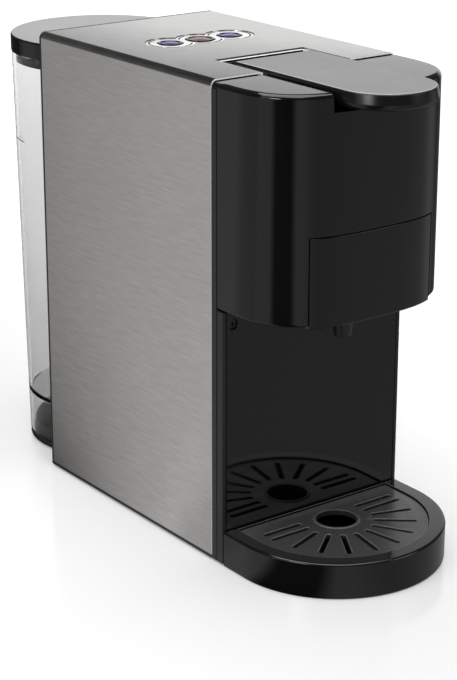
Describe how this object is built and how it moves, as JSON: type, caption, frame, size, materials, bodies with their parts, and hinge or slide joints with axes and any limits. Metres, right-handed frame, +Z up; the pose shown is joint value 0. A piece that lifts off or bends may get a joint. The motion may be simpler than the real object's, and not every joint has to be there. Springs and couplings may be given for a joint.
{
  "type": "pod coffee machine",
  "caption": "Slim pod coffee machine with steel wrap, round-fronted brewing head, lift-up lever, capsule drawer, drip tray, push buttons and a clear lift-off water tank behind.",
  "frame": {"origin": "centre of the bottom of the bounding box, on the surface the machine stands on", "axes": "+Z up, +X to the right seen from the front, +Y to the rear, towards the water tank"},
  "size_m": [0.1274, 0.3504, 0.276],
  "materials": {
    "steel": "brushed",
    "gloss_black": "high gloss",
    "satin_black": "satin",
    "grey_plastic": "matte",
    "bright_steel": "bright",
    "rubber": "matte",
    "clear_plastic": "clear",
    "button_blue": "satin",
    "button_red": "satin",
    "plated_steel": "plated",
    "cast_aluminium": "as cast",
    "white_plastic": "matte",
    "board_green": "satin",
    "silicone": "matte"
  },
  "bodies": {
    "chassis": {"base_pan": "satin_black", "foot_front_left": "rubber", "foot_front_right": "rubber", "foot_rear_left": "rubber", "foot_rear_right": "rubber", "foot_dock": "rubber", "tank_dock": "satin_black", "dock_seal": "silicone", "steel_cover": "steel", "rear_panel": "satin_black", "cord_gland": "rubber", "front_frame": "satin_black", "front_panel": "gloss_black", "panel_screw_left": "plated_steel", "panel_screw_right": "plated_steel", "head_shell": "gloss_black", "brew_frame": "grey_plastic", "guide_post_left": "plated_steel", "guide_post_right": "plated_steel", "hinge_pin": "plated_steel", "hinge_bracket_left": "satin_black", "hinge_bracket_right": "satin_black", "lever_bay": "satin_black", "button_bezel": "bright_steel", "control_board": "board_green", "bulkhead": "grey_plastic", "pump_coil": "plated_steel", "pump_body": "white_plastic", "pump_bracket": "satin_black", "flow_meter": "white_plastic", "thermoblock": "cast_aluminium", "power_board": "board_green", "tube_tank_to_pump": "silicone", "tube_pump_to_heater": "silicone", "tube_heater_to_brew": "silicone"},
    "lever": {"lever_body": "gloss_black", "lever_plate": "grey_plastic", "crank_left": "plated_steel", "crank_right": "plated_steel", "crank_pin": "plated_steel"},
    "plunger": {"plunger_carriage": "grey_plastic", "plunger": "white_plastic", "plunger_seal": "silicone"},
    "drawer": {"drawer_front": "gloss_black", "drawer_tray": "satin_black", "spout": "satin_black"},
    "button_left": {"button_left": "button_blue"},
    "button_middle": {"button_middle": "button_red"},
    "button_right": {"button_right": "button_blue"},
    "drip_tray": {"drip_tray": "gloss_black"},
    "drip_grate": {"drip_grate": "satin_black"},
    "tank": {"tank_body": "clear_plastic", "tank_valve_cage": "white_plastic", "tank_valve_spring": "plated_steel"},
    "tank_valve": {"tank_valve": "white_plastic"},
    "tank_lid": {"tank_lid": "gloss_black", "tank_lid_seal": "rubber"}
  },
  "joints": [
    {"name": "lever_hinge", "type": "hinge", "parent": "chassis", "child": "lever", "pos_m": [0, -0.05175, 0.267], "axis": [-1, 0, 0], "range_deg": [0, 85]},
    {"name": "plunger_slide", "type": "slide", "parent": "chassis", "child": "plunger", "axis": [0, 0, 1], "range_m": [0, 0.0146]},
    {"name": "drawer_slide", "type": "slide", "parent": "chassis", "child": "drawer", "axis": [0, -1, 0], "range_m": [0, 0.045]},
    {"name": "button_left_press", "type": "slide", "parent": "chassis", "child": "button_left", "axis": [0, 0, -1], "range_m": [0, 0.0012], "stiffness_N_per_m": 800, "springref_m": -0.0005},
    {"name": "button_middle_press", "type": "slide", "parent": "chassis", "child": "button_middle", "axis": [0, 0, -1], "range_m": [0, 0.0012], "stiffness_N_per_m": 800, "springref_m": -0.0005},
    {"name": "button_right_press", "type": "slide", "parent": "chassis", "child": "button_right", "axis": [0, 0, -1], "range_m": [0, 0.0012], "stiffness_N_per_m": 800, "springref_m": -0.0005},
    {"name": "drip_tray_slide", "type": "slide", "parent": "chassis", "child": "drip_tray", "axis": [0, -1, 0], "range_m": [0, 0.08]},
    {"name": "drip_grate_lift", "type": "slide", "parent": "drip_tray", "child": "drip_grate", "axis": [0, 0, 1], "range_m": [0, 0.03]},
    {"name": "tank_lift", "type": "slide", "parent": "chassis", "child": "tank", "axis": [0, 0, 1], "range_m": [0, 0.05]},
    {"name": "tank_valve_lift", "type": "slide", "parent": "tank", "child": "tank_valve", "axis": [0, 0, 1], "range_m": [0, 0.003], "stiffness_N_per_m": 150, "springref_m": -0.001, "deforming": ["tank_valve_spring"]},
    {"name": "tank_lid_lift", "type": "slide", "parent": "tank", "child": "tank_lid", "axis": [0, 0, 1], "range_m": [0, 0.03]}
  ],
  "couplings": [
    {"joint": "plunger_slide", "follows": "lever_hinge", "m_per_rad": 0.009841}
  ]
}
